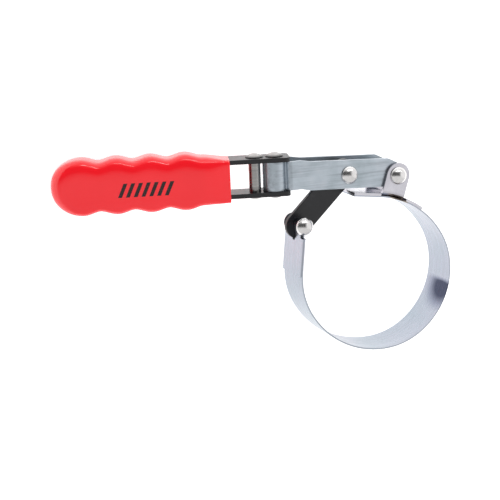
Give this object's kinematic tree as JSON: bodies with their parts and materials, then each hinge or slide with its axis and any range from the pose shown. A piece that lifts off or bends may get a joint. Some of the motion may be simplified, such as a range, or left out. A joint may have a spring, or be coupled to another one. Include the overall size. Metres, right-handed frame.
{
  "type": "oil filter wrench",
  "caption": "Strap-band oil filter wrench: oval steel band, tightening link, two-legged swivel bracket and a red lobed vinyl grip on a steel frame.",
  "frame": {"origin": "on the axis of the filter that the band's right-hand arc seats on, half-way across the band's width", "axes": "+Z along the filter's axis; +Y along the handle's swivel pin, from the filter towards the bracket; +X from the handle towards the band's far side"},
  "size_m": [0.2348, 0.1301, 0.0611],
  "materials": {
    "band_steel": "bright rolled spring steel, lightly plated",
    "zinc_plate": "bright bluish zinc plate",
    "rivet_nickel": "polished nickel-plated rivet heads",
    "rivet_dark": "dark phosphated rivet heads, rubbed bright on the crown",
    "sleeve_steel": "plated tube",
    "black_finish": "satin black oxide or paint",
    "grip_vinyl": "glossy red vinyl"
  },
  "bodies": {
    "bracket": {"swivel_bracket": "zinc_plate", "link_rivet": "rivet_nickel", "link_spacers": "sleeve_steel", "clip_rivet": "rivet_nickel", "clip_spacer": "sleeve_steel"},
    "handle": {"handle_frame": "black_finish", "grip": "grip_vinyl", "spacer_rivet": "rivet_dark", "spacer_sleeve": "sleeve_steel", "pivot_rivet": "rivet_dark", "pivot_bushing": "sleeve_steel"},
    "band": {"band": "band_steel", "band_clip": "zinc_plate", "band_end_rivet": "rivet_nickel"},
    "link": {"link_plate": "black_finish"}
  },
  "joints": [
    {"name": "handle_swivel", "type": "hinge", "parent": "bracket", "child": "handle", "pos_m": [-0.067, 0.0693, 0], "axis": [0, 1, 0], "range_deg": [-72, 108]},
    {"name": "band_pivot", "type": "hinge", "parent": "bracket", "child": "band", "pos_m": [0.0089, 0.062, 0], "axis": [0, 0, 1], "range_deg": [-2.5, 5]},
    {"name": "link_pivot", "type": "hinge", "parent": "band", "child": "link", "pos_m": [-0.0528, 0.0382, 0], "axis": [0, 0, 1], "range_deg": [-1.25, 2.45]}
  ],
  "couplings": [
    {"joint": "link_pivot", "follows": "band_pivot", "ratio": 0.48}
  ]
}
